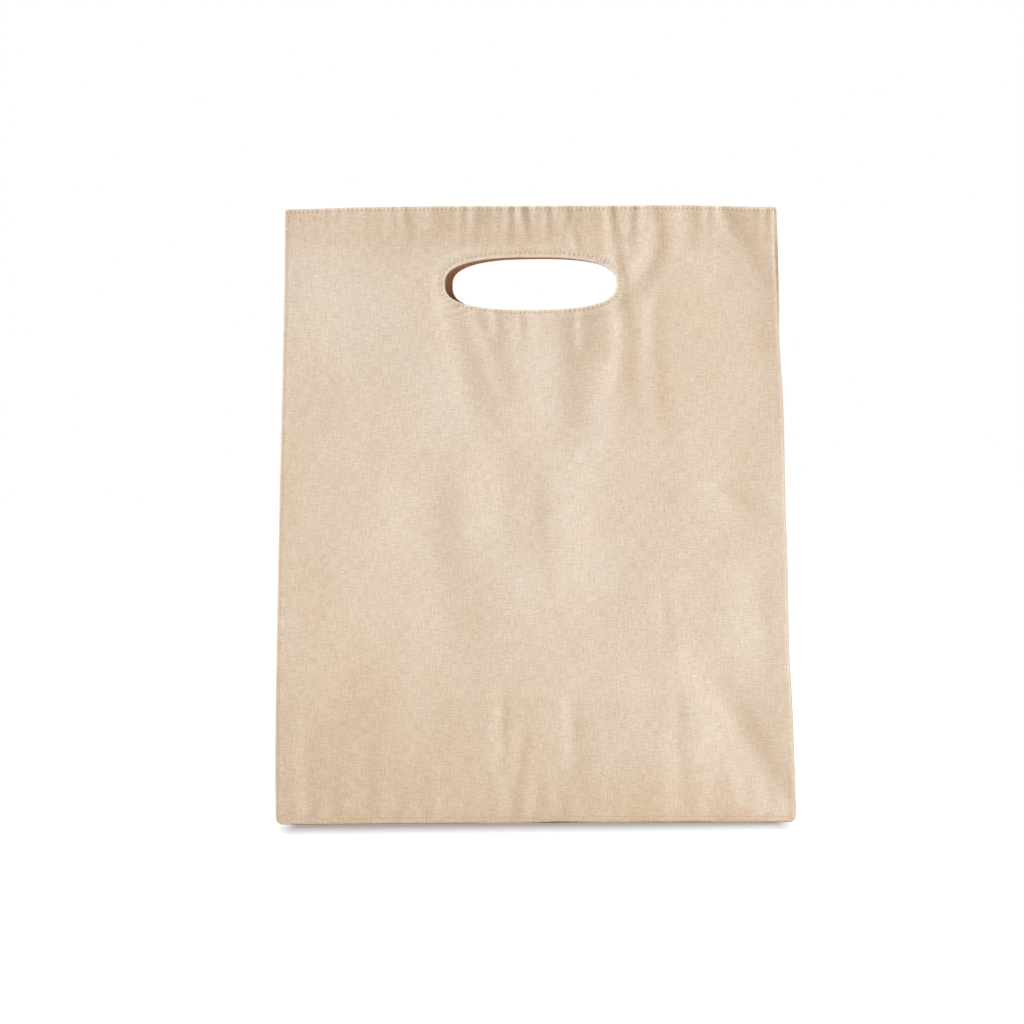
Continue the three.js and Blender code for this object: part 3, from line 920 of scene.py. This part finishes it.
def gusset_grid(side, wall, z):
    """Half of a gusset, from the crease of its pleat out to the pinched seam with one wall."""
    front_seam = seam_line(FRONT, side, z, PINCH)
    back_seam = seam_line(BACK, side, z, PINCH)
    seam = front_seam if wall is FRONT else back_seam
    spread = np.abs(back_seam[:, 1] - front_seam[:, 1]) / 2
    pleat = np.sqrt(np.maximum(LEAF_LENGTH**2 - spread**2, 0) + PLEAT_SOFTNESS**2) - PLEAT_SOFTNESS
    crease = (front_seam + back_seam) / 2
    crease[:, 0] -= side * pleat * smoothstep(*PLEAT_GROWS, z)
    turns = np.hypot(LEAF_SHARES, CREASE_SOFTNESS) - CREASE_SOFTNESS
    turns = turns / turns[-1]
    grid = np.empty((len(z), len(LEAF_SHARES) + len(LIP_SHARES), 3))
    for k, (share, turn) in enumerate(zip(LEAF_SHARES, turns)):
        grid[:, k] = crease + (seam - crease) * share
        grid[:, k, 0] = crease[:, 0] + (seam[:, 0] - crease[:, 0]) * turn
    for k, share in enumerate(LIP_SHARES):
        grid[:, len(LEAF_SHARES) + k] = rounded_lip(wall, side, z, share)
    sway = np.concatenate([LEAF_SHARES, np.ones(len(LIP_SHARES))])[None, :]
    loose = 4 * sway * (1 - sway)
    along = sway * wall.sign * BASE_DEPTH / 2
    wave = -GUSSET_SLACK
    for rise, wavelength, seed in GUSSET_WAVES:
        wave = wave + rise * ripples(along, z[:, None], wavelength, seed + side)
    grid[:, :, 0] += side * wave * loose
    soften_corner(grid)
    return grid


def grid_plan(rows, columns, flipped):
    """Quads and the edge loop of a grid of points."""
    index = np.arange(rows * columns).reshape(rows, columns)
    quads = np.stack([index[:-1, :-1], index[:-1, 1:], index[1:, 1:], index[1:, :-1]], axis=-1).reshape(-1, 4)
    if flipped:
        return quads[:, ::-1], edge_loop(index)[::-1]
    return quads, edge_loop(index)


def gusset_cloth(side_name, side, wall):
    """Half of a gusset as cloth. Its weave runs on over the crease into the other half."""
    z = stations(PANEL_HEIGHT - CANVAS, STEP_UP) + CANVAS / 2
    grid = gusset_grid(side, wall, z)
    rows, columns = grid.shape[:2]
    steps = np.linalg.norm(np.diff(grid, axis=1), axis=2)
    along = np.concatenate([np.zeros((rows, 1)), np.cumsum(steps, axis=1)], axis=1)
    up = np.repeat(z[:, None], columns, axis=1)
    across = along * wall.sign + GUSSET_WEAVE + GUSSET_WEAVE_STEP * side
    cloth = np.stack([across, up, 0 * up], axis=-1).reshape(-1, 3)
    edge = np.minimum(PANEL_HEIGHT - up, along[:, -1:] - along)
    sewing = np.stack([np.abs(PANEL_HEIGHT - up - HEM_ROW), along * wall.sign / STITCH_PITCH, edge], axis=-1)
    quads, loop = grid_plan(rows, columns, side * wall.sign > 0)
    points, faces, sources = thicken(grid.reshape(-1, 3), quads, [loop])
    fields = {"cloth": cloth[sources], "sewing": sewing.reshape(-1, 3)[sources]}
    name = f"{side_name}_gusset_{wall.name}_half"
    piece = make_piece(name, points, faces.tolist(), fields, OUTSIDE)
    blend_to_wall(piece)
    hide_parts(f"{side_name}_gusset")
    return piece


def blend_to_wall(piece):
    """Bakes the piece's placement into its points. The piece is attached to neither the base nor the wall."""
    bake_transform(piece)


# The base: room left to the side seams and to the walls, gap to the floor, and its turned edges
BASE_ROOM_BESIDE = 0.6
BASE_ROOM_BEHIND = 6.7
BASE_GAP = 0.02
BASE_TURN_UP = 5
BASE_TURN_WIDTH = 2.4
BASE_MARGIN = 1
# How far the base swells off the floor, and its waves: height, wavelength and seed
BASE_SWELL = 0.7
BASE_SLACK = 0.5
BASE_WAVES = [(0.45, 70, 5), (0.12, 24, 6)]
# Distance that keeps the marks of a stitch row off the base
NO_ROW = 20


def base_cloth():
    """The base lies on the floor, with its turned edges standing up a little inside the seams."""
    half_x = PANEL_WIDTH / 2 - PINCH - PLY - BASE_ROOM_BESIDE
    half_y = BASE_DEPTH / 2 - PLY - BASE_ROOM_BEHIND

    def places(half):
        inner = half - BASE_MARGIN
        return np.concatenate([[-half], stations(2 * inner, STEP_UP) - inner, [half]])

    across = places(half_x)
    deep = places(half_y)
    x, y = np.meshgrid(across, deep)
    edge = np.minimum(half_x - np.abs(x), half_y - np.abs(y))
    flat = CANVAS / 2 + BASE_GAP
    turned_up = BASE_TURN_UP * np.clip(1 - edge / BASE_TURN_WIDTH, 0, 1) ** 1.6
    swell = BASE_SLACK
    for rise, wavelength, seed in BASE_WAVES:
        swell = swell + rise * ripples(x, y, wavelength, seed)
    z = np.maximum(flat + turned_up + BASE_SWELL * smoothstep(2, 14, edge) * swell, flat)
    quads, loop = grid_plan(len(deep), len(across), False)
    points, faces, sources = thicken(np.stack([x, y, z], axis=-1).reshape(-1, 3), quads, [loop])
    cloth = np.stack([x + BASE_WEAVE, y, 0 * x], axis=-1).reshape(-1, 3)
    sewing = np.stack([edge + NO_ROW, 0 * x, edge], axis=-1).reshape(-1, 3)
    fields = {"cloth": cloth[sources], "sewing": sewing[sources]}
    piece = make_piece("base_cloth", points, faces.tolist(), fields, OUTSIDE)
    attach(piece, "base")
    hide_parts("base_panel")
    return piece


def gusset_base_row(side_name, side):
    """The row of stitches that closes a gusset to the base. It stops a few points short of both seams."""
    foot = np.array([BASE_ROW])
    front, back = [gusset_grid(side, wall, foot)[0, 1:-len(LIP_SHARES)] for wall in (FRONT, BACK)]
    ends = 3
    path = np.concatenate([front[::-1], back])[ends:-ends]
    steps = np.linalg.norm(np.diff(path, axis=0), axis=1)
    shares = np.concatenate([[0], np.cumsum(steps)]) / steps.sum()

    def line(places):
        points = np.stack([np.interp(places, shares, path[:, k]) for k in range(3)], axis=-1)
        outward = np.broadcast_to([side, 0.0, 0.0], points.shape)
        return points + outward * (CANVAS / 2 + THREAD_LIFT), outward

    stitch_row(f"{side_name}_base_stitching", "base", stitch_count(steps.sum()), line)


for wall in (FRONT, BACK):
    bottom = FLOOR_GAP + CANVAS / 2
    wall_cloth(wall, "panel", 0, bottom, True, OUTSIDE)
    facing = wall_cloth(wall, "facing", PLY, FACING_EDGE, False, SHADED_INSIDE)
    wall_rows(wall)
for side_name, side in (("left", -1), ("right", 1)):
    for wall in (FRONT, BACK):
        gusset_cloth(side_name, side, wall)
    gusset_base_row(side_name, side)
base = base_cloth()


# Stage: white floor with a painted shadow round the bag's footprint over its real contact shadow, soft studio
# light. Lengths are metres from here on
FLOOR_SIZE = 40
FOOTPRINT = (0.138, BASE_DEPTH / 2 / METRE, 1)
FADE_STRETCH = (2.6, 1, 1)
CONTACT_REACH = 0.014
SHADOW_REACH = 0.042
CONTACT_SHADOW_GREY = (0.4, 0.375, 0.34, 1)
SHADOW_GREY = (0.4, 0.413, 0.434, 1)
FLOOR_GREY = (0.82, 0.82, 0.82, 1)
WHITE = (1, 1, 1, 1)
WORLD_STRENGTH = 0.225
WORLD_WARM = (1, 0.89, 0.76, 1)
LAMP_TARGET = (0, 0, 0.18)


def vector_node(tree, operation, a, b=(0, 0, 0)):
    return add_node(tree, "ShaderNodeVectorMath", {0: a, 1: b}, operation=operation).outputs


def floor_material():
    """White to the camera far from the bag. Near its footprint the camera sees it darker and less aglow, warm
    at first and then cooler: a painted shadow, over which the bag's real shadow also shows.
    """
    material, tree = new_material("floor")
    tree.nodes.remove(tree.nodes["Principled BSDF"])
    seen = add_node(tree, "ShaderNodeLightPath").outputs["Is Camera Ray"]
    place = add_node(tree, "ShaderNodeNewGeometry").outputs["Position"]
    away = vector_node(tree, "ABSOLUTE", place)[0]
    away = vector_node(tree, "SUBTRACT", away, FOOTPRINT)[0]
    away = vector_node(tree, "MAXIMUM", away)[0]
    away = vector_node(tree, "MULTIPLY", away, FADE_STRETCH)[0]
    far = vector_node(tree, "LENGTH", away)["Value"]
    # Painted shadow: a darker grey for the camera, warm close to the footprint
    painted_shadow_grey = mix_colour(tree, remap(tree, far, 0.0, CONTACT_REACH), CONTACT_SHADOW_GREY, SHADOW_GREY)
    diffuse = add_node(tree, "ShaderNodeBsdfDiffuse", {"Color": mix_colour(tree, seen, FLOOR_GREY, painted_shadow_grey)})
    # The white glow fades out towards the footprint, so the painted shadow shows there
    glow = math_node(tree, "MULTIPLY", remap(tree, far, 0.0, SHADOW_REACH), seen)
    emission = add_node(tree, "ShaderNodeEmission", {"Color": WHITE, "Strength": glow})
    both = add_node(tree, "ShaderNodeAddShader", {0: diffuse.outputs[0], 1: emission.outputs[0]})
    tree.links.new(both.outputs[0], tree.nodes["Material Output"].inputs["Surface"])
    return material


bpy.ops.mesh.primitive_plane_add(size=FLOOR_SIZE, location=(0, 0, 0))
floor = bpy.context.object
floor.name = "floor"
floor.data.materials.append(floor_material())

# World: white to the camera and to reflections, a weak warm light to the rest
world = bpy.data.worlds.new("studio")
bpy.context.scene.world = world
world.use_nodes = True
world_tree = world.node_tree
world_path = add_node(world_tree, "ShaderNodeLightPath")
world_seen = math_node(world_tree, "MAXIMUM", world_path.outputs["Is Camera Ray"],
                       world_path.outputs["Is Glossy Ray"])
world_strength = remap(world_tree, world_seen, 0.0, 1.0, WORLD_STRENGTH, 1.0)
world_background = world_tree.nodes["Background"]
world_colour = mix_colour(world_tree, world_seen, WORLD_WARM, WHITE)
world_tree.links.new(world_colour, world_background.inputs["Color"])
world_tree.links.new(world_strength, world_background.inputs["Strength"])


def place_light(name, kind, azimuth, elevation, distance, power, colour, size):
    """A lamp that looks at the bag: azimuth 0 is straight in front, positive to the right.

    The size is an angle in degrees for a sun and a width for an area lamp.
    """
    lamp = bpy.data.lights.new(name, kind)
    lamp.energy = power
    lamp.color = colour
    if kind == "SUN":
        lamp.angle = math.radians(size)
    else:
        lamp.size = size
    placed = bpy.data.objects.new(name, lamp)
    bpy.context.scene.collection.objects.link(placed)
    a = math.radians(azimuth)
    e = math.radians(elevation)
    back = np.array([math.sin(a) * math.cos(e), -math.cos(a) * math.cos(e), math.sin(e)])
    placed.location = tuple(np.array(LAMP_TARGET) + back * distance)
    turn = Matrix.Rotation(a, 4, "Z") @ Matrix.Rotation(math.pi / 2 - e, 4, "X")
    placed.rotation_euler = turn.to_euler()


place_light("key", "SUN", -66, 34, 2.0, 3.36, (0.95, 1, 1.07), size=16)
place_light("fill", "AREA", 55, 20, 1.3, 2.2, (1, 0.98, 0.95), size=0.7)
place_light("rim", "AREA", 108, 22, 1.4, 8, (1, 0.99, 0.97), size=0.6)
place_light("back", "AREA", 180, 22, 2.4, 15, (1, 1, 1), size=1.6)

# Camera: square on, a little above half height. Its focal length is given in picture pixels
CAMERA_DISTANCE = 1.107
CAMERA_HEIGHT = 0.195
CAMERA_ASIDE = -0.0125
CAMERA_TILT = 0.0139
CAMERA_ROLL = math.radians(-0.45)
FOCAL_PIXELS = 1830
PICTURE_PIXELS = 1024
SENSOR_WIDTH = 36
camera_data = bpy.data.cameras.new("camera")
camera_data.sensor_width = SENSOR_WIDTH
camera_data.lens = FOCAL_PIXELS / PICTURE_PIXELS * SENSOR_WIDTH
camera = bpy.data.objects.new("camera", camera_data)
bpy.context.scene.collection.objects.link(camera)
camera.location = (CAMERA_ASIDE, -CAMERA_DISTANCE, CAMERA_HEIGHT)
aim = Matrix.Rotation(math.pi / 2 - CAMERA_TILT, 4, "X") @ Matrix.Rotation(CAMERA_ROLL, 4, "Z")
camera.rotation_euler = aim.to_euler()
bpy.context.scene.camera = camera
bpy.context.scene.view_settings.view_transform = "Standard"
